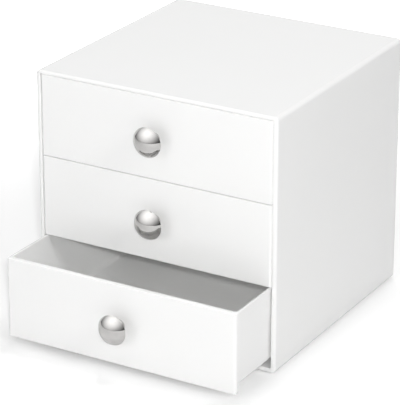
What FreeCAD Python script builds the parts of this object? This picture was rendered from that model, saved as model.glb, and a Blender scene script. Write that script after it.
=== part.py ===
# Nail polish organizer: a moulded case with three identical pull-out drawers.
#
# Units are millimetres. +Z is up and the drawers open towards -Y. The origin is on the
# surface that the organizer stands on, under the centre of the case.
import FreeCAD, Part

import math
import os

from FreeCAD import Vector

# ------------------------------------------------------------------ driving dimensions

# Case moulding
CASE_WIDTH = 165.0
CASE_DEPTH = 164.0
CASE_HEIGHT = 162.0
SIDE_WALL = 2.8
TOP_WALL = 2.2
FLOOR_WALL = 3.2
BACK_WALL = 2.4
CASE_EDGE_RADIUS = 2.7      # the four long edges that run from front to back
CASE_BACK_RADIUS = 3.0      # the edges around the back wall
CASE_RIM_RADIUS = 1.6       # outer edge of the open front rim
OPENING_RIM_RADIUS = 0.4    # inner edge of the open front rim
OPENING_RADIUS = 1.1        # corners of the open front
SIDE_DRAFT = 1.5            # how far each side wall closes in from front to back
CAVITY_BACK_RADIUS = 2.0

# Feet
FOOT_DIAMETER = 12.0
FOOT_STAND = 1.0            # height of the case above the surface
FOOT_RECESS = 0.8
FOOT_BEVEL = 0.5
FOOT_INSET = 16.0           # foot centre to the outside of the case

# Drawer moulding
DRAWER_NAMES = ("bottom", "middle", "top")
REST_OPENING = {"bottom": 41.0, "middle": 0.0, "top": 0.0}
FRONT_GAP = 0.45            # between two drawer fronts, half of it at the case
SIDE_GAP = 0.35             # drawer front to the side wall of the case
FRONT_THICKNESS = 3.5
FRONT_LIP = 5.0             # how far the front hangs below the tray
FRONT_CORNER_RADIUS = 1.0
FRONT_SIDE_RADIUS = 1.6     # upright edges of the front face
FRONT_EDGE_RADIUS = 0.5     # top and bottom edges of the front face
TRAY_WALL = 1.8
TRAY_FLOOR = 2.0
TRAY_DRAFT = 0.5            # how far each tray wall leans in over its height
TRAY_TAPER = 1.8            # how far each side closes in towards the back
TRAY_BACK_GAP = 2.0         # tray to the back wall of the case when closed
TRAY_CORNER_RADIUS = 4.0
TRAY_EDGE_RADIUS = 1.6
TRAY_INNER_RADIUS = 1.2
TRAY_FLOOR_RADIUS = 2.0
RIM_ROUNDING = 0.6

# Skids, runners and stops
SKID_HEIGHT = 1.7
SKID_WIDTH = 2.4
SKID_SPACING = 120.0        # between the two skids of a tray
RUNNING_GAP = 0.15          # skid to the surface that it runs on
RUNNER_WIDTH = 3.0
RUNNER_DRAFT = 0.2
STOP_HEIGHT = 0.9           # free height left between a stop and the tray above it
STOP_LENGTH = 4.0
STOP_RAMP = 8.0
STOP_DISTANCE = 32.0        # case front to the working face of a stop
STOP_WIDTH = 20.0
CATCH_HEIGHT = 1.3          # rib under the back of a tray that meets the stop
CATCH_LENGTH = 2.0
CATCH_INSET = 8.0           # catch to the back of the tray

# Shelves and the grooves that hold them
SHELF_THICKNESS = 1.8
SHELF_FRONT_INSET = 5.4
SHELF_SIDE_GAP = 0.35
SHELF_BEAD_DROP = 1.1
SHELF_BEAD_WIDTH = 1.8
SHELF_CORNER_RADIUS = 3.5
LEDGE_REACH = 3.6
LEDGE_THICKNESS = 1.4
LEDGE_START = 3.7
NIB_HEIGHT = 0.8
NIB_LENGTH = 1.4
KEEPER_THICKNESS = 1.3
KEEPER_START = 6.1
KEEPER_GAP = 0.1

# Knobs and their screws
KNOB_DIAMETER = 19.0
KNOB_RIM_STAND = 8.0        # drawer front to the widest part of the knob
KNOB_DOME_RISE = 5.6
KNOB_EDGE = 0.8             # bevel under the widest part
KNOB_BASE_DIAMETER = 11.0
KNOB_BASE_THICKNESS = 1.2
KNOB_NECK_DIAMETER = 7.2
KNOB_NECK_END = 5.6         # where the neck starts to flare out to the rim
KNOB_BORE_DIAMETER = 4.1
KNOB_BORE_DEPTH = 9.0
PAD_DIAMETER = 14.0         # raised pad under the screw head
PAD_THICKNESS = 1.0
SCREW_DIAMETER = 4.0
SCREW_BEVEL = 0.5
SCREW_REACH = 7.5           # how far the screw enters the knob
SCREW_HOLE_DIAMETER = 4.4
HEAD_DIAMETER = 8.0
HEAD_HEIGHT = 2.4
HEAD_BEVEL = 0.7
DRIVE_WIDTH = 0.9
DRIVE_LENGTH = 4.0
DRIVE_DEPTH = 1.3

# ----------------------------------------------------------------- derived dimensions

CASE_HALF = CASE_WIDTH / 2
CASE_FRONT = -CASE_DEPTH / 2
CASE_BACK = CASE_DEPTH / 2
CASE_BOTTOM = FOOT_STAND
CASE_TOP = CASE_BOTTOM + CASE_HEIGHT

OPENING_HALF = CASE_HALF - SIDE_WALL
OPENING_BOTTOM = CASE_BOTTOM + FLOOR_WALL
OPENING_TOP = CASE_TOP - TOP_WALL
CAVITY_BACK = CASE_BACK - BACK_WALL

PITCH = (OPENING_TOP - OPENING_BOTTOM) / len(DRAWER_NAMES)
FRONT_HALF = OPENING_HALF - SIDE_GAP
FRONT_BOTTOM = OPENING_BOTTOM + FRONT_GAP / 2
FRONT_TOP = FRONT_BOTTOM + PITCH - FRONT_GAP
FRONT_INSIDE = CASE_FRONT + FRONT_THICKNESS

TRAY_UNDERSIDE = FRONT_BOTTOM + FRONT_LIP
TRAY_BACK = CAVITY_BACK - TRAY_BACK_GAP
SKID_BOTTOM = TRAY_UNDERSIDE - SKID_HEIGHT
RUNNING_LEVEL = SKID_BOTTOM - RUNNING_GAP
STOP_TOP = TRAY_UNDERSIDE - STOP_HEIGHT
KNOB_LEVEL = (FRONT_BOTTOM + FRONT_TOP) / 2

SHELF_BACK = CAVITY_BACK - SHELF_SIDE_GAP
DRAWER_TRAVEL = TRAY_BACK - CATCH_INSET - CATCH_LENGTH - (CASE_FRONT + STOP_DISTANCE)

# -------------------------------------------------------------------- shared geometry


def box(low, high):
    """Return a box between two opposite corners."""
    size = Vector(*high) - Vector(*low)
    return Part.makeBox(size.x, size.y, size.z, Vector(*low))


def mirrored(shape):
    """Return a shape and its mirror image in the middle plane of the object."""
    return [shape, shape.mirror(Vector(0, 0, 0), Vector(1, 0, 0))]


def edges_within(shape, low, high):
    """Return the edges of a shape that lie wholly inside a box."""
    margin = 0.01
    zone = FreeCAD.BoundBox(*[value - margin for value in low], *[value + margin for value in high])
    return [edge for edge in shape.Edges if zone.isInside(edge.BoundBox)]


def long_edges(shape, extent):
    """Return the edges whose bounding box is long in one way, such as YLength."""
    return [edge for edge in shape.Edges if getattr(edge.BoundBox, extent) > 1]


def rounded_outline(corners):
    """Return a closed wire through corners, each given as (point, rounding radius)."""
    count = len(corners)
    edges = []
    starts = []
    ends = []
    for index, (corner, radius) in enumerate(corners):
        before = (corners[index - 1][0] - corner).normalize()
        after = (corners[(index + 1) % count][0] - corner).normalize()
        setback = radius / math.tan(before.getAngle(after) / 2)
        starts.append(corner + before * setback)
        ends.append(corner + after * setback)
        if radius > 0:
            inward = (before + after).normalize()
            centre = corner + inward * math.hypot(radius, setback)
            edges.append(Part.Arc(starts[-1], centre - inward * radius, ends[-1]).toShape())
    for index in range(count):
        edges.append(Part.LineSegment(ends[index - 1], starts[index]).toShape())
    return Part.Wire(Part.__sortEdges__(edges))


def prism(points, direction):
    """Return the flat outline through points pushed out along a direction."""
    outline = Part.makePolygon([*points, points[0]])
    return Part.Face(outline).extrude(direction)


def drafted_block(first, last):
    """Return the flat-sided solid between two four-cornered outlines.

    Both outlines run anticlockwise, seen from the last one back towards the first.
    """
    faces = [first[::-1], last]
    for index in range(4):
        faces.append([first[index - 1], first[index], last[index], last[index - 1]])
    shell = Part.makeShell([Part.Face(Part.makePolygon([*face, face[0]])) for face in faces])
    return Part.makeSolid(shell)


def turned(profile):
    """Return a solid turned about the Y axis, from edges in the XY plane."""
    return Part.Face(Part.Wire(profile)).revolve(Vector(0, 0, 0), Vector(0, 1, 0), 360)


def line(start, end):
    """Return a straight edge between two (x, y) points."""
    return Part.LineSegment(Vector(*start, 0), Vector(*end, 0)).toShape()


def arc(start, middle, end):
    """Return an arc edge through three (x, y) points."""
    return Part.Arc(Vector(*start, 0), Vector(*middle, 0), Vector(*end, 0)).toShape()


# -------------------------------------------------------------------------- the case


def wall_reach(y):
    """Return how far the drafted side walls have closed in at a depth."""
    return SIDE_DRAFT * (y - CASE_FRONT) / CASE_DEPTH


def section_corners(y, half_at_front, low, high):
    """Return the corners of a section across the case at one depth, drafted at the sides."""
    half = half_at_front - wall_reach(y)
    return [Vector(x, y, z) for x, z in ((-half, low), (-half, high), (half, high), (half, low))]


def drafted_section(start, end, half_at_front, low, high):
    """Return the block between two depths whose sides follow the draft of the case."""
    first = section_corners(start, half_at_front, low, high)
    return drafted_block(first, section_corners(end, half_at_front, low, high))


def case_cavity():
    """Return the hollow of the case, reaching out past its front."""
    cavity = drafted_section(CASE_FRONT - 1, CAVITY_BACK, OPENING_HALF, OPENING_BOTTOM, OPENING_TOP)
    cavity = cavity.makeFillet(OPENING_RADIUS, long_edges(cavity, "YLength"))
    back_low = (-CASE_HALF, CAVITY_BACK, CASE_BOTTOM)
    back_high = (CASE_HALF, CAVITY_BACK, CASE_TOP)
    return cavity.makeFillet(CAVITY_BACK_RADIUS, edges_within(cavity, back_low, back_high))


def case_body():
    """Return the hollow case with its rounded edges and soft front rim."""
    body = drafted_section(CASE_FRONT, CASE_BACK, CASE_HALF, CASE_BOTTOM, CASE_TOP)
    body = body.makeFillet(CASE_EDGE_RADIUS, long_edges(body, "YLength"))
    back_low = (-CASE_HALF, CASE_BACK, CASE_BOTTOM)
    back_high = (CASE_HALF, CASE_BACK, CASE_TOP)
    body = body.makeFillet(CASE_BACK_RADIUS, edges_within(body, back_low, back_high))
    front_low = (-CASE_HALF, CASE_FRONT, CASE_BOTTOM)
    front_high = (CASE_HALF, CASE_FRONT, CASE_TOP)
    body = body.makeFillet(CASE_RIM_RADIUS, edges_within(body, front_low, front_high))
    body = body.cut(case_cavity())
    mouth_low = (-OPENING_HALF, CASE_FRONT, OPENING_BOTTOM)
    mouth_high = (OPENING_HALF, CASE_FRONT, OPENING_TOP)
    return body.makeFillet(OPENING_RIM_RADIUS, edges_within(body, mouth_low, mouth_high))


def side_rib(start, low, high, slope):
    """Return one rib on the right wall; slope leans its free face by this much."""
    root = OPENING_HALF + 0.5
    tip = OPENING_HALF - LEDGE_REACH
    points = [
        Vector(root, start, low),
        Vector(tip, start, low - min(slope, 0)),
        Vector(tip, start, high - max(slope, 0)),
        Vector(root, start, high),
    ]
    return prism(points, Vector(0, CAVITY_BACK - start + 0.5, 0))


def groove_ribs(level):
    """Return the ledge, keeper and nib that hold a shelf on the right wall."""
    shelf_top = RUNNING_LEVEL + level * PITCH
    shelf_bottom = shelf_top - SHELF_THICKNESS
    keeper_low = shelf_top + KEEPER_GAP
    ledge_front = CASE_FRONT + LEDGE_START
    ledge = side_rib(ledge_front, shelf_bottom - LEDGE_THICKNESS, shelf_bottom, -0.2)
    keeper = side_rib(CASE_FRONT + KEEPER_START, keeper_low, keeper_low + KEEPER_THICKNESS, 0.2)
    nib_points = [
        Vector(OPENING_HALF - LEDGE_REACH + 0.4, ledge_front, shelf_bottom - 0.5),
        Vector(OPENING_HALF - LEDGE_REACH + 0.4, ledge_front, shelf_bottom + NIB_HEIGHT / 2),
        Vector(OPENING_HALF - LEDGE_REACH + 0.4, ledge_front + NIB_LENGTH / 2, shelf_bottom + NIB_HEIGHT),
        Vector(OPENING_HALF - LEDGE_REACH + 0.4, ledge_front + NIB_LENGTH, shelf_bottom + NIB_HEIGHT),
        Vector(OPENING_HALF - LEDGE_REACH + 0.4, ledge_front + NIB_LENGTH, shelf_bottom - 0.5),
    ]
    nib = prism(nib_points, Vector(LEDGE_REACH, 0, 0))
    return [ledge, keeper, nib]


def floor_runner():
    """Return the right-hand runner that the bottom drawer slides on."""
    middle = SKID_SPACING / 2
    root = RUNNER_WIDTH / 2 + RUNNER_DRAFT
    tip = RUNNER_WIDTH / 2
    start = CASE_FRONT + LEDGE_START
    buried = OPENING_BOTTOM - 0.5
    points = [
        Vector(middle - root, start, buried),
        Vector(middle + root, start, buried),
        Vector(middle + tip, start, RUNNING_LEVEL),
        Vector(middle - tip, start, RUNNING_LEVEL),
    ]
    return prism(points, Vector(0, CAVITY_BACK - start + 0.5, 0))


def stop_block(base, left, right):
    """Return a stop with a ramp that faces the front, for a drawer at the lowest level."""
    working_face = CASE_FRONT + STOP_DISTANCE
    points = [
        Vector(left, working_face, base),
        Vector(left, working_face, STOP_TOP),
        Vector(left, working_face - STOP_LENGTH, STOP_TOP),
        Vector(left, working_face - STOP_LENGTH - STOP_RAMP, base),
    ]
    return prism(points, Vector(right - left, 0, 0))


def foot_places():
    """Return the name and centre of each foot."""
    across = CASE_HALF - FOOT_INSET
    along = CASE_DEPTH / 2 - FOOT_INSET
    places = {}
    for row, y in (("front", -along), ("back", along)):
        for side, x in (("left", -across), ("right", across)):
            places[f"{row}_{side}"] = Vector(x, y, 0)
    return places


def case_shell():
    """Return the case moulding with its runners, grooves, stop ribs and foot recesses."""
    additions = mirrored(floor_runner())
    for level in range(1, len(DRAWER_NAMES)):
        for rib in groove_ribs(level):
            additions += mirrored(rib)
    rib_outside = STOP_WIDTH / 2
    rib_inside = rib_outside - RUNNER_WIDTH
    additions += mirrored(stop_block(OPENING_BOTTOM - 0.5, rib_inside, rib_outside))
    shell = case_body().fuse(additions).removeSplitter()
    recesses = []
    for place in foot_places().values():
        base = place + Vector(0, 0, CASE_BOTTOM)
        recesses.append(Part.makeCylinder(FOOT_DIAMETER / 2, FOOT_RECESS, base))
    return shell.cut(recesses)


def foot(place):
    """Return one non-slip pad seated in its recess, with its lower edge bevelled."""
    tread = Part.makeCone(FOOT_DIAMETER / 2 - FOOT_BEVEL, FOOT_DIAMETER / 2, FOOT_BEVEL, place)
    height = FOOT_STAND + FOOT_RECESS - FOOT_BEVEL
    return tread.fuse(Part.makeCylinder(FOOT_DIAMETER / 2, height, place + Vector(0, 0, FOOT_BEVEL)))


def shelf(level):
    """Return the divider that carries the drawer at a level above the lowest."""
    top = RUNNING_LEVEL
    bottom = top - SHELF_THICKNESS
    front = CASE_FRONT + SHELF_FRONT_INSET
    front_half = OPENING_HALF - wall_reach(front) - SHELF_SIDE_GAP
    back_half = OPENING_HALF - wall_reach(SHELF_BACK) - SHELF_SIDE_GAP
    corners = [
        (Vector(-front_half, front, bottom), 1.0),
        (Vector(front_half, front, bottom), 1.0),
        (Vector(back_half, SHELF_BACK, bottom), SHELF_CORNER_RADIUS),
        (Vector(-back_half, SHELF_BACK, bottom), SHELF_CORNER_RADIUS),
    ]
    plate = Part.Face(rounded_outline(corners)).extrude(Vector(0, 0, SHELF_THICKNESS))
    bead_half = OPENING_HALF - LEDGE_REACH - 1.5
    bead_low = (-bead_half, front, bottom - SHELF_BEAD_DROP)
    bead_high = (bead_half, front + SHELF_BEAD_WIDTH, bottom + 0.5)
    bead = box(bead_low, bead_high)
    stop = stop_block(top - 0.5, -STOP_WIDTH / 2, STOP_WIDTH / 2)
    panel = plate.fuse([bead, stop]).removeSplitter()
    panel.translate(Vector(0, 0, level * PITCH))
    return panel


# ------------------------------------------------------------------------ the drawers


def tray_half(y, z, inset):
    """Return the half width of the tray wall at a place, inset from its outside."""
    closed = TRAY_TAPER * (y - CASE_FRONT) / (TRAY_BACK - CASE_FRONT)
    lean = TRAY_DRAFT * (FRONT_TOP - z) / (FRONT_TOP - TRAY_UNDERSIDE)
    return FRONT_HALF - closed - lean - inset


def tray_corners(z, front, inset):
    """Return the corners of the tray at one height, inset from its outside."""
    lean = TRAY_DRAFT * (FRONT_TOP - z) / (FRONT_TOP - TRAY_UNDERSIDE)
    back = TRAY_BACK - lean - inset
    front_half = tray_half(front, z, inset)
    back_half = tray_half(back, z, inset)
    corners = [(-front_half, front), (front_half, front), (back_half, back), (-back_half, back)]
    return [Vector(x, y, z) for x, y in corners]


def tray_outside():
    """Return the tray as a full block, from inside the front plate to its rounded back."""
    front = CASE_FRONT + FRONT_THICKNESS / 2
    block = drafted_block(tray_corners(TRAY_UNDERSIDE, front, 0), tray_corners(FRONT_TOP, front, 0))
    behind = [edge for edge in block.Edges if edge.BoundBox.YMax > FRONT_INSIDE]
    upright = [edge for edge in behind if edge.BoundBox.ZLength > 1]
    block = block.makeFillet(TRAY_CORNER_RADIUS, upright)
    low = (-CASE_HALF, CASE_FRONT, TRAY_UNDERSIDE)
    high = (CASE_HALF, CASE_BACK, TRAY_UNDERSIDE)
    bottom = [edge for edge in edges_within(block, low, high) if edge.BoundBox.YMax > FRONT_INSIDE]
    return block.makeFillet(TRAY_EDGE_RADIUS, bottom)


def tray_inside():
    """Return the hollow of the tray, reaching above its rim."""
    floor = TRAY_UNDERSIDE + TRAY_FLOOR
    hollow = drafted_block(
        tray_corners(floor, FRONT_INSIDE, TRAY_WALL),
        tray_corners(FRONT_TOP + 1, FRONT_INSIDE, TRAY_WALL),
    )
    hollow = hollow.makeFillet(TRAY_INNER_RADIUS, long_edges(hollow, "ZLength"))
    low = (-CASE_HALF, CASE_FRONT, floor)
    high = (CASE_HALF, CASE_BACK, floor)
    return hollow.makeFillet(TRAY_FLOOR_RADIUS, edges_within(hollow, low, high))


def front_plate():
    """Return the drawer front: rounded seen from the front, from above and from the side."""
    half = FRONT_HALF
    front = CASE_FRONT
    inside = FRONT_INSIDE
    low = FRONT_BOTTOM
    high = FRONT_TOP
    seen_from_front = rounded_outline([
        (Vector(-half, front, low), FRONT_CORNER_RADIUS),
        (Vector(half, front, low), FRONT_CORNER_RADIUS),
        (Vector(half, front, high), FRONT_CORNER_RADIUS),
        (Vector(-half, front, high), FRONT_CORNER_RADIUS),
    ])
    seen_from_above = rounded_outline([
        (Vector(-half, front, low), FRONT_SIDE_RADIUS),
        (Vector(half, front, low), FRONT_SIDE_RADIUS),
        (Vector(half, inside, low), 0),
        (Vector(-half, inside, low), 0),
    ])
    seen_from_side = rounded_outline([
        (Vector(-half, front, low), FRONT_EDGE_RADIUS),
        (Vector(-half, front, high), FRONT_EDGE_RADIUS),
        (Vector(-half, inside, high), 0),
        (Vector(-half, inside, low), 0),
    ])
    plate = Part.Face(seen_from_front).extrude(Vector(0, inside - front, 0))
    plate = plate.common(Part.Face(seen_from_above).extrude(Vector(0, 0, high - low)))
    return plate.common(Part.Face(seen_from_side).extrude(Vector(2 * half, 0, 0)))


def tray_skid():
    """Return the right-hand skid under the tray."""
    middle = SKID_SPACING / 2
    front = FRONT_INSIDE - 0.5
    back = TRAY_BACK - TRAY_CORNER_RADIUS
    points = [
        Vector(middle - SKID_WIDTH / 2, front, TRAY_UNDERSIDE + 0.5),
        Vector(middle - SKID_WIDTH / 2, front, SKID_BOTTOM),
        Vector(middle - SKID_WIDTH / 2, back - SKID_HEIGHT, SKID_BOTTOM),
        Vector(middle - SKID_WIDTH / 2, back, TRAY_UNDERSIDE),
        Vector(middle - SKID_WIDTH / 2, back, TRAY_UNDERSIDE + 0.5),
    ]
    return prism(points, Vector(SKID_WIDTH, 0, 0))


def tray_catch():
    """Return the rib under the back of the tray that meets the stop."""
    back = TRAY_BACK - CATCH_INSET
    low = (-STOP_WIDTH / 2, back - CATCH_LENGTH, TRAY_UNDERSIDE - CATCH_HEIGHT)
    high = (STOP_WIDTH / 2, back, TRAY_UNDERSIDE + 0.5)
    return box(low, high)


def along_y(radius, start, length):
    """Return a cylinder on the knob axis that runs inwards from a depth."""
    return Part.makeCylinder(radius, length, Vector(0, start, KNOB_LEVEL), Vector(0, 1, 0))


def soften_rim(body):
    """Return the drawer with both edges of its open rim rounded, behind the front plate."""
    low = (-CASE_HALF, FRONT_INSIDE, FRONT_TOP)
    high = (CASE_HALF, CASE_BACK, FRONT_TOP)
    return body.makeFillet(RIM_ROUNDING, edges_within(body, low, high))


def drawer():
    """Return the closed drawer of the lowest level, with its knob hole and screw pad."""
    body = tray_outside().fuse(front_plate()).removeSplitter().cut(tray_inside())
    body = soften_rim(body)
    body = body.fuse([*mirrored(tray_skid()), tray_catch()])
    body = body.fuse(along_y(PAD_DIAMETER / 2, FRONT_INSIDE - 0.5, PAD_THICKNESS + 0.5))
    body = body.cut(along_y(SCREW_HOLE_DIAMETER / 2, CASE_FRONT - 1, 10))
    return body.removeSplitter()


def knob():
    """Return the mushroom knob of the lowest closed drawer, turned from one profile."""
    rim = KNOB_DIAMETER / 2
    base = KNOB_BASE_DIAMETER / 2
    neck = KNOB_NECK_DIAMETER / 2
    bore = KNOB_BORE_DIAMETER / 2
    tip = KNOB_RIM_STAND + KNOB_DOME_RISE
    shoulder = KNOB_BASE_THICKNESS + base - neck
    dome_radius = (rim ** 2 + KNOB_DOME_RISE ** 2) / (2 * KNOB_DOME_RISE)
    half_angle = math.asin(rim / dome_radius) / 2
    dome_middle = (dome_radius * math.sin(half_angle), tip - dome_radius * (1 - math.cos(half_angle)))
    profile = [
        line((bore, 0), (base, 0)),
        line((base, 0), (base, KNOB_BASE_THICKNESS)),
        line((base, KNOB_BASE_THICKNESS), (neck, shoulder)),
        line((neck, shoulder), (neck, KNOB_NECK_END)),
        line((neck, KNOB_NECK_END), (rim - KNOB_EDGE, KNOB_RIM_STAND - KNOB_EDGE)),
        line((rim - KNOB_EDGE, KNOB_RIM_STAND - KNOB_EDGE), (rim, KNOB_RIM_STAND)),
        arc((rim, KNOB_RIM_STAND), dome_middle, (0, tip)),
        line((0, tip), (0, KNOB_BORE_DEPTH)),
        line((0, KNOB_BORE_DEPTH), (bore, KNOB_BORE_DEPTH)),
        line((bore, KNOB_BORE_DEPTH), (bore, 0)),
    ]
    solid = turned(profile)
    solid.rotate(Vector(0, 0, 0), Vector(0, 0, 1), 180)
    solid.translate(Vector(0, CASE_FRONT, KNOB_LEVEL))
    return solid


def knob_screw():
    """Return the pan-head screw that holds the knob of the lowest closed drawer."""
    seat = FRONT_INSIDE + PAD_THICKNESS
    length = seat - CASE_FRONT + SCREW_REACH
    shank = SCREW_DIAMETER / 2
    head = HEAD_DIAMETER / 2
    profile = [
        line((0, -length), (shank - SCREW_BEVEL, -length)),
        line((shank - SCREW_BEVEL, -length), (shank, -length + SCREW_BEVEL)),
        line((shank, -length + SCREW_BEVEL), (shank, 0)),
        line((shank, 0), (head, 0)),
        line((head, 0), (head, HEAD_HEIGHT - HEAD_BEVEL)),
        line((head, HEAD_HEIGHT - HEAD_BEVEL), (head - HEAD_BEVEL, HEAD_HEIGHT)),
        line((head - HEAD_BEVEL, HEAD_HEIGHT), (0, HEAD_HEIGHT)),
        line((0, HEAD_HEIGHT), (0, -length)),
    ]
    screw = turned(profile)
    screw.translate(Vector(0, seat, KNOB_LEVEL))
    slots = []
    for across, up in ((DRIVE_LENGTH, DRIVE_WIDTH), (DRIVE_WIDTH, DRIVE_LENGTH)):
        low = (-across / 2, seat + HEAD_HEIGHT - DRIVE_DEPTH, KNOB_LEVEL - up / 2)
        high = (across / 2, seat + HEAD_HEIGHT + 1, KNOB_LEVEL + up / 2)
        slots.append(box(low, high))
    return screw.cut(slots)


# ------------------------------------------------------------------------- the output


def save(name, shape):
    """Write one checked solid as a STEP file named after its node."""
    if not shape.isValid() or len(shape.Solids) != 1:
        raise ValueError(f"{name} is not one valid solid")
    shape.Solids[0].exportStep(f"parts/{name}.step")


def place_at(shape, level, opening):
    """Return a copy of a lowest closed piece, moved to its level and pulled open."""
    placed = shape.copy()
    placed.translate(Vector(0, -opening, level * PITCH))
    return placed


def main():
    """Build every piece and write it to the parts folder."""
    os.makedirs("parts", exist_ok=True)
    save("case_shell", case_shell())
    save("shelf_lower", shelf(1))
    save("shelf_upper", shelf(2))
    for name, place in foot_places().items():
        save(f"foot_{name}", foot(place))
    drawer_pieces = {"drawer": drawer(), "knob": knob(), "knob_screw": knob_screw()}
    for level, name in enumerate(DRAWER_NAMES):
        for piece, shape in drawer_pieces.items():
            save(f"{piece}_{name}", place_at(shape, level, REST_OPENING[name]))
    print(f"drawer travel {DRAWER_TRAVEL:.2f} mm, pitch {PITCH:.3f} mm")


main()
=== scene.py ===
"""Looks of a small moulded organizer case with three pull-out drawers and chrome knobs.

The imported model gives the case, shelves, drawers and feet at their real size. This script
dresses them in gloss plastic and rubber, replaces the knobs and their screws with finely
turned ones, and lights the whole on a pale studio floor. All lengths are in metres.
"""
import logging
import math
from abc import ABC, abstractmethod
from dataclasses import dataclass, field
from enum import Enum

import bmesh
import bpy
from mathutils import Matrix, Vector


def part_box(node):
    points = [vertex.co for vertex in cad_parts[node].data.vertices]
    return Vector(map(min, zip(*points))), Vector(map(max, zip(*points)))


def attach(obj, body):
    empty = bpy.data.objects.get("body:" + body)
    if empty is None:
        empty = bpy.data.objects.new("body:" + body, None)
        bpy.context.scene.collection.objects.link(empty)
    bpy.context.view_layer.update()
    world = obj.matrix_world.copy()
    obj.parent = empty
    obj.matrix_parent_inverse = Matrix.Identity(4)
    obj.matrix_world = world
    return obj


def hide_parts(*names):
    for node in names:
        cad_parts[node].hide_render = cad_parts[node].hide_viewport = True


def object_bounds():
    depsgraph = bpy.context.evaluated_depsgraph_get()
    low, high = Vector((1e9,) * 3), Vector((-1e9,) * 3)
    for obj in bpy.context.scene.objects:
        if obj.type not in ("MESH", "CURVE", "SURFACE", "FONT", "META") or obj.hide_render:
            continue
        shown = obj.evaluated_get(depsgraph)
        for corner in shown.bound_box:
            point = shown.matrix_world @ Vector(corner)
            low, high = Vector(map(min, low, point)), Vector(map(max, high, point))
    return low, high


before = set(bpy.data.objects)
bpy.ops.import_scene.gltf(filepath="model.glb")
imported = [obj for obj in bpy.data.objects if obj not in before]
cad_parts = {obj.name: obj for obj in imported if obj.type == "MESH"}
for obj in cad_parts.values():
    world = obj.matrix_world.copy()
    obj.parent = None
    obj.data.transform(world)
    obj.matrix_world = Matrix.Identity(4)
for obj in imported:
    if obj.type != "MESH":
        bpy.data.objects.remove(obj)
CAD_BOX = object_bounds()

LOG = logging.getLogger("organizer")
MM = 0.001
MICRON = 0.000001
WELD = 0.001 * MM
SPARE_TURNS = 2


# ------------------------------------------------------------------------- shader graphs


@dataclass(frozen=True)
class Pattern:
    """Patches of soft noise.

    Attributes:
        scale: Waves per metre.
        detail: Number of finer layers.
        start: Value of the noise where a patch begins.
        end: Value of the noise where it is full.
    """

    scale: float
    detail: float
    start: float
    end: float


@dataclass(frozen=True)
class Relief:
    """Fine relief of a surface.

    Attributes:
        scale: Waves per metre.
        detail: Number of finer layers.
        depth: Depth in metres.
    """

    scale: float
    detail: float
    depth: float


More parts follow.
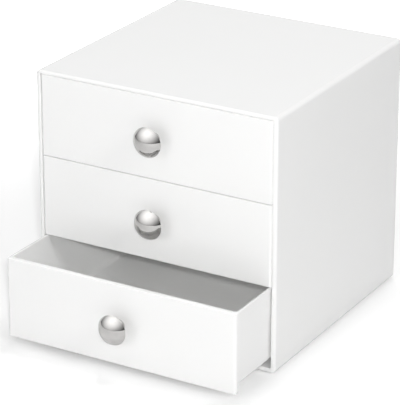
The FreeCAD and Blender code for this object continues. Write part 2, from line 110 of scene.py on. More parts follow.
class ShaderGraph:
    """A small writer of node trees for one material or world."""

    def __init__(self, tree: bpy.types.NodeTree) -> None:
        """Start from an empty tree.

        Args:
            tree: The node tree to fill.
        """
        self.tree = tree
        tree.nodes.clear()

    def node(self, kind: str, inputs: dict | None = None, **settings) -> bpy.types.Node:
        """Add a node.

        Args:
            kind: Node type, such as "ShaderNodeTexNoise".
            inputs: Socket names with a value or an output socket to link.
            settings: Attributes of the node itself.

        Returns:
            The new node.
        """
        made = self.tree.nodes.new(kind)
        for name, value in settings.items():
            setattr(made, name, value)
        for name, value in (inputs or {}).items():
            if isinstance(value, bpy.types.NodeSocket):
                self.tree.links.new(value, made.inputs[name])
            else:
                made.inputs[name].default_value = value
        return made

    def object_coordinates(self) -> bpy.types.NodeSocket:
        """Return the piece's own coordinates, in metres."""
        return self.node("ShaderNodeTexCoord").outputs["Object"]

    def stretched(self, vector: bpy.types.NodeSocket, scale: Vector, turn: Vector) -> bpy.types.NodeSocket:
        """Return coordinates that are turned and then stretched.

        Args:
            vector: Coordinates to change.
            scale: Stretch along each axis.
            turn: Turn about each axis, in radians.

        Returns:
            The changed coordinates.
        """
        mapping = self.node("ShaderNodeMapping", {"Vector": vector, "Scale": scale, "Rotation": turn})
        return mapping.outputs["Vector"]

    def noise(self, vector: bpy.types.NodeSocket, scale: float, detail: float = 2.0) -> bpy.types.NodeSocket:
        """Return soft noise from 0 to 1.

        Args:
            vector: Coordinates of the pattern.
            scale: Waves per unit of the coordinates.
            detail: Number of finer layers.

        Returns:
            The value of the noise.
        """
        inputs = {"Vector": vector, "Scale": scale, "Detail": detail}
        return self.node("ShaderNodeTexNoise", inputs).outputs["Fac"]

    def patches(self, vector: bpy.types.NodeSocket, pattern: Pattern) -> bpy.types.NodeSocket:
        """Return patches of noise, 0 between them and 1 where they are full.

        Args:
            vector: Coordinates of the pattern.
            pattern: The pattern to draw.

        Returns:
            The strength of the patches.
        """
        noise = self.noise(vector, pattern.scale, pattern.detail)
        return self.remap(noise, pattern.start, pattern.end, 0.0, 1.0)

    def remap(self, value: bpy.types.NodeSocket, start: float, end: float, low: float, high: float,
              ) -> bpy.types.NodeSocket:
        """Return a value carried smoothly from one range to another, and kept inside it.

        Args:
            value: The value to carry over.
            start: Value that becomes low.
            end: Value that becomes high.
            low: First end of the new range.
            high: Second end of the new range.

        Returns:
            The value in the new range.
        """
        inputs = {"Value": value, "From Min": start, "From Max": end, "To Min": low, "To Max": high}
        made = self.node("ShaderNodeMapRange", inputs, interpolation_type="SMOOTHSTEP")
        return made.outputs["Result"]

    def math(self, operation: str, first, second, kept: bool = True) -> bpy.types.NodeSocket:
        """Return one arithmetic step.

        Args:
            operation: Name of the step, such as "ADD".
            first: A value or an output socket.
            second: A value or an output socket.
            kept: Whether the result is kept from 0 to 1.

        Returns:
            The result.
        """
        made = self.node("ShaderNodeMath", operation=operation, use_clamp=kept)
        for socket, value in zip(made.inputs, (first, second)):
            if isinstance(value, bpy.types.NodeSocket):
                self.tree.links.new(value, socket)
            else:
                socket.default_value = value
        return made.outputs["Value"]

    def tint(self, factor: bpy.types.NodeSocket, first, second: tuple) -> bpy.types.NodeSocket:
        """Return a blend of two colours.

        Args:
            factor: 0 gives the first colour and 1 the second.
            first: Red, green and blue, or an output socket with a colour.
            second: Red, green and blue.

        Returns:
            The blended colour.
        """
        made = self.node("ShaderNodeMix", data_type="RGBA")
        factor_input, first_input, second_input = made.inputs["Factor"], made.inputs["A"], made.inputs["B"]
        self.tree.links.new(factor, factor_input)
        if isinstance(first, bpy.types.NodeSocket):
            self.tree.links.new(first, first_input)
        else:
            first_input.default_value = (*first, 1.0)
        second_input.default_value = (*second, 1.0)
        return made.outputs["Result"]

    def bump(self, height: bpy.types.NodeSocket, depth: float, under: bpy.types.NodeSocket | None = None,
             ) -> bpy.types.NodeSocket:
        """Return the surface direction over a fine relief.

        Args:
            height: Relief from 0 to 1.
            depth: Depth of the relief, in metres.
            under: Surface direction of a relief beneath this one.

        Returns:
            The new surface direction.
        """
        inputs = {"Height": height, "Distance": depth, "Strength": 1.0}
        if under is not None:
            inputs["Normal"] = under
        return self.node("ShaderNodeBump", inputs).outputs["Normal"]

    def relief(self, vector: bpy.types.NodeSocket, relief: Relief, under: bpy.types.NodeSocket | None = None,
               ) -> bpy.types.NodeSocket:
        """Return the surface direction over a relief of soft noise.

        Args:
            vector: Coordinates of the pattern.
            relief: The relief to press in.
            under: Surface direction of a relief beneath this one.

        Returns:
            The new surface direction.
        """
        return self.bump(self.noise(vector, relief.scale, relief.detail), relief.depth, under)

    def finish(self, shader: bpy.types.NodeSocket, kind: str = "ShaderNodeOutputMaterial") -> None:
        """Join a shader to the output.

        Args:
            shader: The shader to show.
            kind: Output node for a material or a world.
        """
        self.node(kind, {"Surface": shader})


@dataclass(frozen=True)
class Finish(ABC):
    """One material of the object or of the studio."""

    name: str

    def material(self) -> bpy.types.Material:
        """Return this finish as a material, made once and then shared."""
        found = bpy.data.materials.get(self.name)
        if found is not None:
            return found
        made = bpy.data.materials.new(self.name)
        made.use_nodes = True
        self.wire(ShaderGraph(made.node_tree))
        return made

    @abstractmethod
    def wire(self, graph: ShaderGraph) -> None:
        """Write the nodes of this finish."""


@dataclass(frozen=True)
class GlossPlastic(Finish):
    """Injection-moulded polystyrene: glossy, with faint waves, smudges, hairlines, rubbed outer edges and
    painted shade in inner corners.
    """

    colour: tuple = (0.93, 0.93, 0.925)
    shaded_colour: tuple = (0.925, 0.925, 0.919)
    # Darker colour on the edge mark: wear on outer edges, painted shade in inner corners and creases.
    worn_and_crease_shade_colour: tuple = (0.86, 0.858, 0.85)
    roughness: float = 0.14
    smudged_roughness: float = 0.17
    worn_roughness: float = 0.08
    clouds: Pattern = Pattern(9.0, 3.0, 0.3, 0.75)
    smudges: Pattern = Pattern(24.0, 4.0, 0.45, 0.7)
    waves: Relief = Relief(38.0, 1.0, 20 * MICRON)
    peel: Relief = Relief(1400.0, 1.0, 0.6 * MICRON)
    hairline_share: float = 0.35
    hairline_roughness: float = 0.34
    hairline_depth: float = 2 * MICRON
    hairline_stretch: tuple = (3200.0, 60.0, 3200.0)
    hairline_turns: tuple = ((0.2, 0.5, 0.35), (0.9, -0.4, 1.2))
    hairline_start: float = 0.76
    hairline_end: float = 0.80
    handled_places: Pattern = Pattern(30.0, 2.0, 0.48, 0.62)
    edge_mark_reach: float = 0.8 * MM
    edge_mark_share: float = 0.6
    edge_mark_from: float = 0.98
    edge_mark_fully: float = 0.86
    edge_mark_places: Pattern = Pattern(160.0, 3.0, 0.4, 0.65)

    def wire(self, graph: ShaderGraph) -> None:
        """Write the nodes of this finish."""
        place = graph.object_coordinates()
        # Edge mark: wear on outer edges, painted shade in inner corners and creases.
        edge = self.rubbed_edges_and_shaded_creases(graph, place)
        hairlines = self.hairlines(graph, place)
        smudges = graph.patches(place, self.smudges)
        clean = graph.tint(graph.patches(place, self.clouds), self.colour, self.shaded_colour)
        smudged = graph.remap(smudges, 0.0, 1.0, self.roughness, self.smudged_roughness)
        marked = graph.math("MAXIMUM", smudged, graph.remap(hairlines, 0.0, 1.0, 0.0, self.hairline_roughness))
        roughness = graph.math("ADD", marked, graph.remap(edge, 0.0, 1.0, 0.0, self.worn_roughness))
        skin = graph.relief(place, self.peel, graph.relief(place, self.waves))
        shader = graph.node("ShaderNodeBsdfPrincipled", {
            # Darker on the edge mark: worn outer edges and painted shade in inner corners.
            "Base Color": graph.tint(edge, clean, self.worn_and_crease_shade_colour),
            "Roughness": roughness,
            "Normal": graph.bump(graph.math("SUBTRACT", 1.0, hairlines), self.hairline_depth, skin),
            "IOR": 1.57,
            "Coat Weight": 0.25,
            "Coat Roughness": 0.06,
            "Subsurface Weight": 0.06,
            "Subsurface Radius": (1.0, 0.96, 0.92),
            "Subsurface Scale": 1.5 * MM,
        })
        graph.finish(shader.outputs["BSDF"])

    def hairlines(self, graph: ShaderGraph, place: bpy.types.NodeSocket) -> bpy.types.NodeSocket:
        """Return sparse hairline marks that run two ways, where hands have been.

        Args:
            graph: The graph to write in.
            place: The piece's own coordinates.

        Returns:
            The strength of the marks.
        """
        streaks = []
        for turn_angles in self.hairline_turns:
            along = graph.stretched(place, Vector(self.hairline_stretch), Vector(turn_angles))
            noise = graph.noise(along, 1.0, 0.0)
            streaks.append(graph.remap(noise, self.hairline_start, self.hairline_end, 0.0, self.hairline_share))
        marks = graph.math("MAXIMUM", *streaks)
        return graph.math("MULTIPLY", marks, graph.patches(place, self.handled_places))

    def rubbed_edges_and_shaded_creases(self, graph: ShaderGraph, place: bpy.types.NodeSocket) -> bpy.types.NodeSocket:
        """Return the darker edge mark, found by how a rounder edge would lean: wear on outer edges and painted
        shade in inner corners and creases.

        Args:
            graph: The graph to write in.
            place: The piece's own coordinates.

        Returns:
            The amount of wear and of painted crease shade.
        """
        # The mask finds convex and concave edges alike, so inner corners get painted shade.
        softened = graph.node("ShaderNodeBevel", {"Radius": self.edge_mark_reach}, samples=4).outputs["Normal"]
        surface = graph.node("ShaderNodeNewGeometry").outputs["Normal"]
        alike = graph.node("ShaderNodeVectorMath", {0: softened, 1: surface}, operation="DOT_PRODUCT")
        edges = graph.remap(alike.outputs["Value"], self.edge_mark_from, self.edge_mark_fully, 0.0, self.edge_mark_share)
        return graph.math("MULTIPLY", edges, graph.patches(place, self.edge_mark_places))


@dataclass(frozen=True)
class PolishedChrome(Finish):
    """Bright chrome plating with a trace of fingerprints."""

    colour: tuple = (0.61, 0.60, 0.59)
    hazed_colour: tuple = (0.58, 0.57, 0.56)
    roughness: float = 0.035
    hazed_roughness: float = 0.06
    haze: Pattern = Pattern(260.0, 3.0, 0.45, 0.72)
    polish: Relief = Relief(700.0, 1.0, 0.3 * MICRON)

    def wire(self, graph: ShaderGraph) -> None:
        """Write the nodes of this finish."""
        place = graph.object_coordinates()
        haze = graph.patches(place, self.haze)
        shader = graph.node("ShaderNodeBsdfPrincipled", {
            "Base Color": graph.tint(haze, self.colour, self.hazed_colour),
            "Metallic": 1.0,
            "Roughness": graph.remap(haze, 0.0, 1.0, self.roughness, self.hazed_roughness),
            "Normal": graph.relief(place, self.polish),
        })
        graph.finish(shader.outputs["BSDF"])


@dataclass(frozen=True)
class ZincPlate(Finish):
    """Zinc-plated steel of a machine screw, slightly mottled."""

    colour: tuple = (0.60, 0.61, 0.62)
    dull_colour: tuple = (0.42, 0.42, 0.43)
    roughness: float = 0.24
    dull_roughness: float = 0.42
    mottle: Pattern = Pattern(900.0, 4.0, 0.38, 0.68)
    grain: Relief = Relief(2600.0, 2.0, 4 * MICRON)

    def wire(self, graph: ShaderGraph) -> None:
        """Write the nodes of this finish."""
        place = graph.object_coordinates()
        mottle = graph.patches(place, self.mottle)
        shader = graph.node("ShaderNodeBsdfPrincipled", {
            "Base Color": graph.tint(mottle, self.colour, self.dull_colour),
            "Metallic": 1.0,
            "Roughness": graph.remap(mottle, 0.0, 1.0, self.roughness, self.dull_roughness),
            "Normal": graph.relief(place, self.grain),
        })
        graph.finish(shader.outputs["BSDF"])


@dataclass(frozen=True)
class FootRubber(Finish):
    """Grey non-slip rubber with a fine matt grain."""

    colour: tuple = (0.36, 0.36, 0.355)
    dusty_colour: tuple = (0.46, 0.455, 0.44)
    roughness: float = 0.6
    dusty_roughness: float = 0.8
    dust: Pattern = Pattern(420.0, 5.0, 0.42, 0.66)
    grain: Relief = Relief(3800.0, 2.0, 20 * MICRON)

    def wire(self, graph: ShaderGraph) -> None:
        """Write the nodes of this finish."""
        place = graph.object_coordinates()
        dust = graph.patches(place, self.dust)
        shader = graph.node("ShaderNodeBsdfPrincipled", {
            "Base Color": graph.tint(dust, self.colour, self.dusty_colour),
            "Roughness": graph.remap(dust, 0.0, 1.0, self.roughness, self.dusty_roughness),
            "Normal": graph.relief(place, self.grain),
        })
        graph.finish(shader.outputs["BSDF"])


@dataclass(frozen=True)
class PaleFloor(Finish):
    """White studio floor that keeps its shadows and turns into a white backdrop far away.

    Attributes:
        colour: Colour that lights the object.
        seen_colour: Colour for the viewer.
        lift: Own glow near the object, for the viewer.
        mirrored_lift: Own glow as mirrored in metal.
        far_lift: Own glow far from the object, for the viewer.
        lift_start: Distance from the object where the glow begins to rise.
        lift_end: Distance where it is highest.
    """

    colour: tuple = (0.80, 0.80, 0.80)
    seen_colour: tuple = (1.0, 1.0, 1.0)
    lift: float = 0.12
    mirrored_lift: float = 0.12
    far_lift: float = 0.75
    lift_start: float = 0.14
    lift_end: float = 0.5

    def wire(self, graph: ShaderGraph) -> None:
        """Write the nodes of this finish."""
        path = graph.node("ShaderNodeLightPath").outputs
        colour = graph.tint(path["Is Camera Ray"], self.colour, self.seen_colour)
        diffuse = graph.node("ShaderNodeBsdfDiffuse", {"Color": colour})
        away = graph.node("ShaderNodeVectorMath", {0: graph.object_coordinates()}, operation="LENGTH")
        lift = graph.remap(away.outputs["Value"], self.lift_start, self.lift_end, self.lift, self.far_lift)
        straight = graph.math("MULTIPLY", path["Is Camera Ray"], lift)
        mirrored = graph.math("MULTIPLY", seen_directly(graph), self.mirrored_lift)
        glow = graph.node("ShaderNodeEmission", {"Strength": graph.math("MAXIMUM", straight, mirrored)})
        both = graph.node("ShaderNodeAddShader")
        graph.tree.links.new(diffuse.outputs["BSDF"], both.inputs[0])
        graph.tree.links.new(glow.outputs["Emission"], both.inputs[1])
        graph.finish(both.outputs["Shader"])


@dataclass(frozen=True)
class TentCloth(Finish):
    """Glow of a reflector cloth: bright overhead and in front, dark low down at both sides.

    Attributes:
        towards: Direction of the brightest place, longer for a steeper fall.
        base: Root of the glow at a right angle to that direction.
    """

    towards: tuple = (-0.165, -0.574, 0.921)
    base: float = 0.24

    def wire(self, graph: ShaderGraph) -> None:
        """Write the nodes of this finish."""
        outward = graph.node("ShaderNodeVectorMath", {0: graph.object_coordinates()}, operation="NORMALIZE")
        along = graph.node("ShaderNodeVectorMath", {0: outward.outputs["Vector"], 1: self.towards},
                           operation="DOT_PRODUCT")
        raised = graph.math("MAXIMUM", 0.0, graph.math("ADD", self.base, along.outputs["Value"], False), False)
        glow = graph.node("ShaderNodeEmission", {"Strength": graph.math("MULTIPLY", raised, raised, False)})
        graph.finish(glow.outputs["Emission"])


def seen_directly(graph: ShaderGraph) -> bpy.types.NodeSocket:
    """Return 1 for light that goes to the viewer, also by way of metal or glass.

    Args:
        graph: The graph to write in.

    Returns:
        1 for such light and 0 for light that falls on a matt surface.
    """
    path = graph.node("ShaderNodeLightPath").outputs
    shiny = graph.math("MAXIMUM", path["Is Glossy Ray"], path["Is Transmission Ray"])
    return graph.math("MAXIMUM", path["Is Camera Ray"], shiny)


CASE_PLASTIC = GlossPlastic("case_gloss_plastic")
DRAWER_PLASTIC = GlossPlastic("drawer_gloss_plastic")
SHELF_PLASTIC = GlossPlastic("shelf_satin_plastic", roughness=0.24, smudged_roughness=0.34, hairline_share=0.6)
KNOB_CHROME = PolishedChrome("knob_polished_chrome")
SCREW_ZINC = ZincPlate("screw_zinc_plate")
FOOT_RUBBER = FootRubber("foot_grained_rubber")


# --------------------------------------------------------------------------- turned pieces


@dataclass
class TurnedOutline:
    """Half section of a turned piece: radii from the axis and heights along it."""

    arc_steps: int = 8
    points: list[Vector] = field(default_factory=list)

    def corner(self, radius: float, height: float) -> "TurnedOutline":
        """Go straight to a sharp corner and return the outline."""
        self.points.append(Vector((radius, 0.0, height)))
        return self

    def rounded(self, radius: float, height: float, onward: tuple, rounding: float) -> "TurnedOutline":
        """Go towards a corner and turn there on an arc.

        Args:
            radius: Distance of the sharp corner from the axis.
            height: Height of the sharp corner.
            onward: Radius and height that the outline goes to next.
            rounding: Radius of the arc.

        Returns:
            This outline.
        """
        corner = Vector((radius, 0.0, height))
        before = (self.points[-1] - corner).normalized()
        after = (Vector((onward[0], 0.0, onward[1])) - corner).normalized()
        half_angle = before.angle(after) / 2
        centre = corner + (before + after).normalized() * (rounding / math.sin(half_angle))
        start = corner + before * (rounding / math.tan(half_angle)) - centre
        end = corner + after * (rounding / math.tan(half_angle)) - centre
        for step in range(self.arc_steps + 1):
            spoke = start.slerp(end, step / self.arc_steps).normalized()
            self.points.append(centre + spoke * rounding)
        return self

    def dome(self, rise: float, steps: int) -> "TurnedOutline":
        """Close the outline to the axis over part of a sphere.

        Args:
            rise: Height of the dome above the last point.
            steps: Number of straight pieces along the dome.

        Returns:
            This outline.
        """
        rim = self.points[-1].copy()
        sphere = (rim.x ** 2 + rise ** 2) / (2 * rise)
        widest = math.asin(rim.x / sphere)
        for step in range(1, steps + 1):
            angle = widest * (1 - step / steps)
            height = rim.z + rise - sphere * (1 - math.cos(angle))
            self.points.append(Vector((sphere * math.sin(angle), 0.0, height)))
        return self


@dataclass
class MeshPiece:
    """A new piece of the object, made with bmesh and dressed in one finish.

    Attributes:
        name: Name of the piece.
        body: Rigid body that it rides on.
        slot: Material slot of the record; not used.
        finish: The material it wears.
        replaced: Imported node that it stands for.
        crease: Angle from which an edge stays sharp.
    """

    name: str
    body: str
    slot: str
    finish: Finish
    replaced: str
    crease: float = math.radians(36.0)

    def place(self, bm: bmesh.types.BMesh) -> bpy.types.Object:
        """Turn a finished bmesh into an object that rides on its body.

        Args:
            bm: The mesh, already where the piece belongs. It is freed.

        Returns:
            The new object.
        """
        bmesh.ops.remove_doubles(bm, verts=bm.verts, dist=WELD)
        bmesh.ops.recalc_face_normals(bm, faces=bm.faces)
        for face in bm.faces:
            face.smooth = True
        for edge in bm.edges:
            edge.smooth = edge.calc_face_angle(0.0) < self.crease
        mesh = bpy.data.meshes.new(self.name)
        bm.to_mesh(mesh)
        bm.free()
        mesh.materials.append(self.finish.material())
        piece = bpy.data.objects.new(self.name, mesh)
        bpy.context.scene.collection.objects.link(piece)
        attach(piece, self.body)
        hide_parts(self.replaced)
        LOG.info("%s: %d faces on body %s", self.name, len(mesh.polygons), self.body)
        return piece


def turn(outline: TurnedOutline, steps: int, turns: int = 1, pitch: float = 0.0) -> bmesh.types.BMesh:
    """Turn an outline about the Z axis, also as a screw.

    Args:
        outline: The half section, in the XZ plane.
        steps: Number of facets around.
        turns: Number of full turns.
        pitch: Climb along the axis in each turn.

    Returns:
        The turned mesh.
    """
    bm = bmesh.new()
    verts = [bm.verts.new(point) for point in outline.points]
    edges = [bm.edges.new(pair) for pair in zip(verts, verts[1:])]
    bmesh.ops.spin(bm, geom=verts + edges, cent=(0, 0, 0), axis=(0, 0, 1), dvec=(0, 0, pitch / steps),
                   angle=turns * math.tau, steps=turns * steps, use_merge=pitch == 0.0,
                   use_normal_flip=False, use_duplicate=False)
    bmesh.ops.remove_doubles(bm, verts=bm.verts, dist=WELD)
    return bm


def fill_rims(bm: bmesh.types.BMesh) -> None:
    """Close every open rim of a mesh with a flat face.

    Args:
        bm: The mesh to close.
    """
    bmesh.ops.holes_fill(bm, edges=[edge for edge in bm.edges if edge.is_boundary], sides=0)


@dataclass
class Knob:
    """Chrome mushroom knob on a slim neck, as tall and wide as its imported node."""

    level: str
    base_radius: float = 4.1 * MM
    base_thickness: float = 1.0 * MM
    neck_radius: float = 3.6 * MM
    neck_end: float = 5.6 * MM
    rim_stand: float = 8.0 * MM
    rim_edge: float = 0.8 * MM
    bore_radius: float = 2.05 * MM
    bore_depth: float = 9.0 * MM
    soft_edge: float = 0.3 * MM
    facets: int = 128

    def build(self) -> bpy.types.Object:
        """Return the finished knob on its drawer."""
        node = f"knob_{self.level}"
        low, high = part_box(node)
        rim = (high.x - low.x) / 2
        height = high.y - low.y
        bm = turn(self.outline(rim, height), self.facets)
        lie_along_drawer(bm, Vector((0.0, high.y, (low.z + high.z) / 2)))
        piece = MeshPiece(f"chrome_knob_{self.level}", f"{self.level}_drawer", "knob_chrome", KNOB_CHROME, node)
        return piece.place(bm)

    def outline(self, rim: float, height: float) -> TurnedOutline:
        """Return the half section from the bore, round the base and neck, to the dome.

        Args:
            rim: Radius of the widest part.
            height: Height of the knob above the drawer front.

        Returns:
            The outline.
        """
        shoulder = self.base_thickness + self.base_radius - self.neck_radius
        under = (rim - self.rim_edge, self.rim_stand - self.rim_edge)
        line = TurnedOutline()
        line.corner(0.0, self.bore_depth).corner(self.bore_radius, self.bore_depth).corner(self.bore_radius, 0.0)
        line.corner(self.base_radius, 0.0)
        line.rounded(self.base_radius, self.base_thickness, (self.neck_radius, shoulder), self.soft_edge)
        line.rounded(self.neck_radius, shoulder, (self.neck_radius, self.neck_end), 2 * self.soft_edge)
        line.rounded(self.neck_radius, self.neck_end, under, 2 * self.soft_edge)
        line.rounded(*under, (rim, self.rim_stand), self.soft_edge)
        line.corner(rim, self.rim_stand)
        return line.dome(height - self.rim_stand, 40)


@dataclass
class KnobScrew:
    """Pan-head machine screw with a cross recess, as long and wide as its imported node."""

    level: str
    head_height: float = 2.4 * MM
    head_rounding: float = 1.0 * MM
    thread_radius: float = 2.0 * MM
    root_radius: float = 1.64 * MM
    pitch: float = 0.7 * MM
    point_bevel: float = 0.5 * MM
    wing_width: float = 0.9 * MM
    wing_length: float = 4.0 * MM
    recess_depth: float = 1.3 * MM
    recess_taper: float = 0.55
    seat_rounding: float = 0.15 * MM
    flank_start: float = 0.25
    crest_start: float = 0.56
    crest_end: float = 0.69
    facets: int = 32

    def build(self) -> bpy.types.Object:
        """Return the finished screw in its drawer."""
        node = f"knob_screw_{self.level}"
        low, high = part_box(node)
        seat = high.y - self.head_height
        bm = self.head((high.x - low.x) / 2)
        self.press_recess(bm)
        self.add_thread(bm, seat - low.y)
        lie_along_drawer(bm, Vector((0.0, seat, (low.z + high.z) / 2)))
        piece = MeshPiece(f"zinc_screw_{self.level}", f"{self.level}_drawer", "screw_steel", SCREW_ZINC, node)
        return piece.place(bm)

    def head(self, radius: float) -> bmesh.types.BMesh:
        """Return the pan head, with its seat on the origin and its top below.

        Args:
            radius: Radius of the head.

        Returns:
            A closed mesh.
        """
        line = TurnedOutline().corner(0.0, 0.0)
        line.rounded(radius, 0.0, (radius, -self.head_height), self.seat_rounding)
        line.rounded(radius, -self.head_height, (0.0, -self.head_height), self.head_rounding)
        bm = turn(line, self.facets)
        fill_rims(bm)
        return bm

    def press_recess(self, bm: bmesh.types.BMesh) -> None:
        """Press a tapered cross into the top of the head.

        Args:
            bm: The head.
        """
        for half in (self.wing_width / 2, self.wing_length / 2):
            for side in ((1, 0, 0), (-1, 0, 0), (0, 1, 0), (0, -1, 0)):
                top = self.top_faces(bm)
                parts = {part for face in top for part in (*face.verts, *face.edges)}
                bmesh.ops.bisect_plane(bm, geom=[*parts, *top], dist=WELD,
                                       plane_co=Vector(side) * half, plane_no=side)
        cross = [face for face in self.top_faces(bm) if self.on_cross(face.calc_center_median())]
        pressed = bmesh.ops.extrude_face_region(bm, geom=cross)["geom"]
        bmesh.ops.delete(bm, geom=cross, context="FACES")
        floor = [part for part in pressed if isinstance(part, bmesh.types.BMVert)]
        bmesh.ops.scale(bm, verts=floor, vec=(self.recess_taper, self.recess_taper, 1.0))
        bmesh.ops.translate(bm, verts=floor, vec=(0, 0, self.recess_depth))

    def top_faces(self, bm: bmesh.types.BMesh) -> list:
        """Return the flat faces on top of the head.

        Args:
            bm: The head.

        Returns:
            The faces.
        """
        edge = WELD - self.head_height
        return [face for face in bm.faces if all(vert.co.z < edge for vert in face.verts)]

    def on_cross(self, point: Vector) -> bool:
        """Say whether a point lies on the cross.

        Args:
            point: A point on top of the head.

        Returns:
            Whether it lies on one of the two wings.
        """
        near, far = sorted((abs(point.x), abs(point.y)))
        return near < self.wing_width / 2 and far < self.wing_length / 2

    def add_thread(self, bm: bmesh.types.BMesh, length: float) -> None:
        """Add the threaded shank, which starts a little inside the head.

        Args:
            bm: The head, which the shank joins.
            length: Length under the head.
        """
        ridge = TurnedOutline()
        for radius, share in ((self.root_radius, 0.0), (self.root_radius, self.flank_start),
                              (self.thread_radius, self.crest_start), (self.thread_radius, self.crest_end),
                              (self.root_radius, 1.0)):
            ridge.corner(radius, (share - SPARE_TURNS) * self.pitch)
        turns = math.ceil(length / self.pitch) + SPARE_TURNS + 1
        shank = turn(ridge, self.facets, turns, self.pitch)
        for height, way in ((-self.pitch / 2, -1), (length, 1)):
            bmesh.ops.bisect_plane(shank, geom=[*shank.verts, *shank.edges, *shank.faces], dist=WELD / 10,
                                   plane_co=(0, 0, height), plane_no=(0, 0, way), clear_outer=True)
        fill_rims(shank)
        for vert in shank.verts:
            limit = self.thread_radius - self.point_bevel + length - vert.co.z
            vert.co.xy = vert.co.xy * min(1.0, limit / vert.co.xy.length)
        mesh = bpy.data.meshes.new("shank")
        shank.to_mesh(mesh)
        shank.free()
        bm.from_mesh(mesh)
        bpy.data.meshes.remove(mesh)


def lie_along_drawer(bm: bmesh.types.BMesh, foot: Vector) -> None:
    """Turn a mesh from +Z to -Y, so that it stands out of a drawer front, and move it.

    Args:
        bm: The mesh, standing on the origin.
        foot: Where its origin goes.
    """
    bmesh.ops.rotate(bm, verts=bm.verts, cent=(0, 0, 0), matrix=Matrix.Rotation(math.pi / 2, 3, "X"))
    bmesh.ops.translate(bm, verts=bm.verts, vec=foot)


# ------------------------------------------------------------------------------- assembly


class Level(Enum):
    """The three drawers, from the top down."""

    TOP = "top"
    MIDDLE = "middle"
    BOTTOM = "bottom"


def dress(node: str, finish: Finish) -> None:
    """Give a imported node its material.

    Args:
        node: Name of the node.
        finish: The material to wear.
    """
    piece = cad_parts[node]
    piece.data.materials.clear()
    piece.data.materials.append(finish.material())
    LOG.info("%s: packed shape in %s", node, finish.name)


@dataclass
class CaseUnit:
    """The case with its shelves and non-slip feet."""

    shelves: tuple = ("shelf_lower", "shelf_upper")

    def build(self) -> None:
        """Dress the case, its shelves and its feet."""
        dress("case_shell", CASE_PLASTIC)
        for shelf in self.shelves:
            dress(shelf, SHELF_PLASTIC)
        for row in ("front", "back"):
            for side in ("left", "right"):
                dress(f"foot_{row}_{side}", FOOT_RUBBER)


@dataclass
class DrawerUnit:
    """One drawer with its knob and the screw that holds it."""

    level: Level

    def build(self) -> None:
        """Dress the drawer and make its knob and screw."""
        dress(f"drawer_{self.level.value}", DRAWER_PLASTIC)
        Knob(self.level.value).build()
        KnobScrew(self.level.value).build()


# --------------------------------------------------------------------------------- studio


@dataclass
class SoftLamp:
    """A square soft box that shines at the middle of the object and isn't mirrored in it.

    Attributes:
        name: Name of the lamp.
        azimuth: Where it stands round the object, in degrees, as direction takes it.
        elevation: How high it stands, in degrees.
        distance: Distance from the middle of the object.
        size: Side of the square.
        radiance: Brightness of its face.
    """

    name: str
    azimuth: float
    elevation: float
    distance: float
    size: float
    radiance: float

    def build(self, aim: Vector) -> None:
        """Hang the lamp.

        Args:
            aim: Point that the lamp faces.
        """
        lamp = bpy.data.lights.new(self.name, "AREA")
        lamp.shape = "SQUARE"
        lamp.size = self.size
        lamp.energy = self.radiance * math.pi * self.size ** 2
        piece = bpy.data.objects.new(self.name, lamp)
        bpy.context.scene.collection.objects.link(piece)
        back = direction(self.azimuth, self.elevation)
        piece.location = aim + back * self.distance
        piece.rotation_euler = (-back).to_track_quat("-Z", "Y").to_euler()
        piece.visible_camera = False
        piece.visible_glossy = False


@dataclass
class ReflectorTent:
    """A dome of cloth over the front and sides of the set, which only shiny surfaces see."""

    radius: float = 2.2
    back: float = 1.3
    rings: int = 32

    def build(self) -> None:
        """Hang the cloth from behind the object over its front down to the floor."""
        bm = bmesh.new()
        bmesh.ops.create_uvsphere(bm, u_segments=2 * self.rings, v_segments=self.rings, radius=self.radius)
        for limit, way in (((0.0, self.back, 0.0), (0, 1, 0)), ((0.0, 0.0, 0.0), (0, 0, -1))):
            bmesh.ops.bisect_plane(bm, geom=[*bm.verts, *bm.edges, *bm.faces], dist=WELD,
                                   plane_co=limit, plane_no=way, clear_outer=True)
        mesh = bpy.data.meshes.new("studio_tent")
        bm.to_mesh(mesh)
        bm.free()
        mesh.materials.append(TentCloth("studio_tent_cloth").material())
        piece = bpy.data.objects.new("studio_tent", mesh)
        bpy.context.scene.collection.objects.link(piece)
        piece.visible_camera = False
        piece.visible_diffuse = False
        piece.visible_shadow = False
        piece.visible_transmission = False


def direction(azimuth: float, elevation: float) -> Vector:
    """Return the direction from the object to a place round it.

    Args:
        azimuth: 0 is in front of the drawers and 90 to their right, in degrees.
        elevation: Angle above the floor, in degrees.

    Returns:
        A vector of length 1.
    """
    turned, raised = math.radians(azimuth), math.radians(elevation)
    flat = Vector((math.sin(turned), -math.cos(turned), 0.0))
    return flat * math.cos(raised) + Vector((0.0, 0.0, math.sin(raised)))


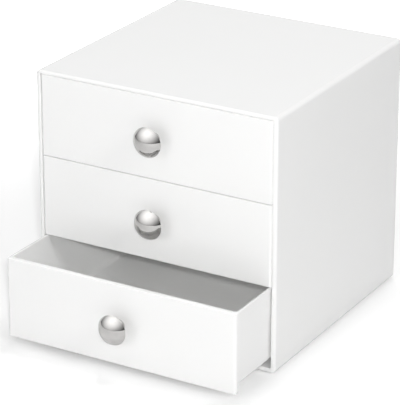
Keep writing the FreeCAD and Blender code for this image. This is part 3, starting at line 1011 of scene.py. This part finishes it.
@dataclass
class Studio:
    """Floor, daylight, lamps and camera."""

    floor_size: float = 8.0
    bounces: int = 8
    daylight: float = 0.2
    camera_azimuth: float = 30.38
    camera_elevation: float = 22.57
    camera_distance: float = 1.4758
    camera_aim: Vector = field(default_factory=lambda: Vector((8.8, -43.5, 82.1)) * MM)
    lens: float = 216.6
    lamps: tuple = (
        SoftLamp("overhead_soft_box", 4.0, 52.0, 1.5, 1.1, 0.5),
        SoftLamp("ceiling_lamp", 185.0, 76.0, 1.5, 0.35, 18.0),
        SoftLamp("front_left_lamp", -20.0, 15.0, 1.8, 0.5, 4.9),
        SoftLamp("left_soft_box", -90.0, 35.0, 1.6, 0.9, 0.7),
        SoftLamp("back_soft_box", 150.0, 40.0, 1.8, 1.0, 0.5),
        SoftLamp("right_lamp", 70.0, 32.0, 2.4, 0.6, 10.2),
        SoftLamp("front_flash", 31.2, 23.6, 1.4, 0.03, 2700.0),
    )

    def build(self) -> None:
        """Set up everything that isn't part of the object."""
        low, high = CAD_BOX
        middle = (low + high) / 2
        self.floor()
        self.sky()
        ReflectorTent().build()
        for lamp in self.lamps:
            lamp.build(middle)
        self.camera()
        bpy.context.scene.view_settings.view_transform = "Standard"
        bpy.context.scene.cycles.diffuse_bounces = self.bounces
        bpy.context.scene.cycles.max_bounces = 2 * self.bounces

    def floor(self) -> None:
        """Lay the floor under the object."""
        bm = bmesh.new()
        bmesh.ops.create_grid(bm, x_segments=1, y_segments=1, size=self.floor_size / 2)
        mesh = bpy.data.meshes.new("studio_floor")
        bm.to_mesh(mesh)
        bm.free()
        mesh.materials.append(PaleFloor("studio_floor_paint").material())
        floor = bpy.data.objects.new("studio_floor", mesh)
        bpy.context.scene.collection.objects.link(floor)

    def sky(self) -> None:
        """Fill the room with even light, seen as white."""
        world = bpy.data.worlds.new("studio_daylight")
        bpy.context.scene.world = world
        world.use_nodes = True
        graph = ShaderGraph(world.node_tree)
        lit = graph.node("ShaderNodeBackground", {"Strength": self.daylight, "Color": (1.0, 1.0, 1.0, 1.0)})
        seen = graph.node("ShaderNodeBackground", {"Strength": 1.0, "Color": (1.0, 1.0, 1.0, 1.0)})
        mix = graph.node("ShaderNodeMixShader", {"Fac": seen_directly(graph)})
        graph.tree.links.new(lit.outputs["Background"], mix.inputs[1])
        graph.tree.links.new(seen.outputs["Background"], mix.inputs[2])
        graph.finish(mix.outputs["Shader"], "ShaderNodeOutputWorld")

    def camera(self) -> None:
        """Stand the camera in front of the object's right corner."""
        lens = bpy.data.cameras.new("view")
        lens.lens = self.lens
        lens.sensor_width = 36.0
        camera = bpy.data.objects.new("view", lens)
        bpy.context.scene.collection.objects.link(camera)
        back = direction(self.camera_azimuth, self.camera_elevation)
        camera.location = self.camera_aim + back * self.camera_distance
        camera.rotation_euler = (-back).to_track_quat("-Z", "Y").to_euler()
        bpy.context.scene.camera = camera


def main() -> None:
    """Build every sub-assembly and the studio."""
    logging.basicConfig(level=logging.INFO, format="%(name)s: %(message)s")
    CaseUnit().build()
    for level in Level:
        DrawerUnit(level).build()
    Studio().build()


if __name__ == "__main__":
    main()
